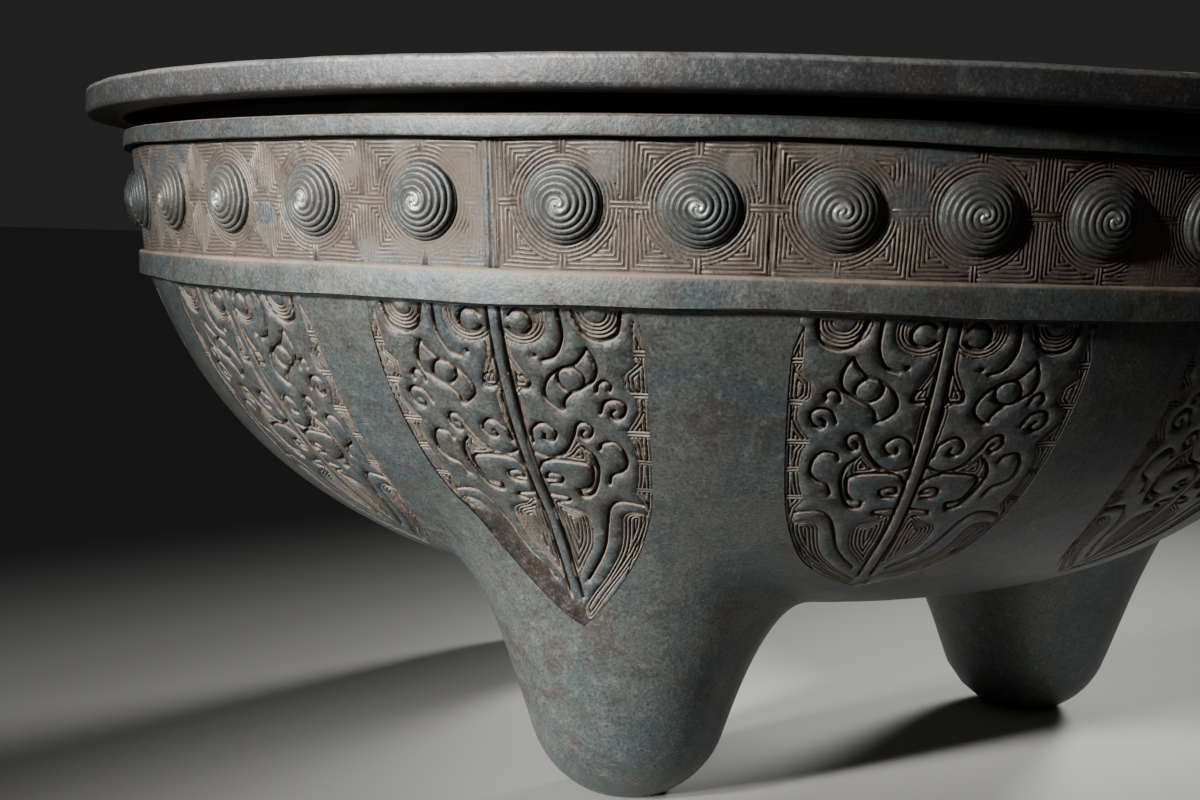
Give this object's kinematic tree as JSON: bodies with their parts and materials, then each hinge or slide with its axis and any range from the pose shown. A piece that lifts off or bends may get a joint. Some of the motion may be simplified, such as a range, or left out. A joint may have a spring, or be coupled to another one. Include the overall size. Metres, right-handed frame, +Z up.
{
  "type": "bronze ding vessel",
  "caption": "Wide, shallow, round cast vessel with a flat rim, a band of whorl bosses, hanging leaf-shaped blades and rounded feet.",
  "frame": {"origin": "on the floor under the middle of the bowl", "axes": "+Z up, with one of the three feet on the -Y side"},
  "size_m": [0.6, 0.6, 0.275],
  "materials": {
    "patinated_bronze": "cast bronze with a grey-green patina, brown earth in the recesses and worn bright high points"
  },
  "bodies": {
    "root": {"ding_vessel": "patinated_bronze"}
  },
  "joints": []
}
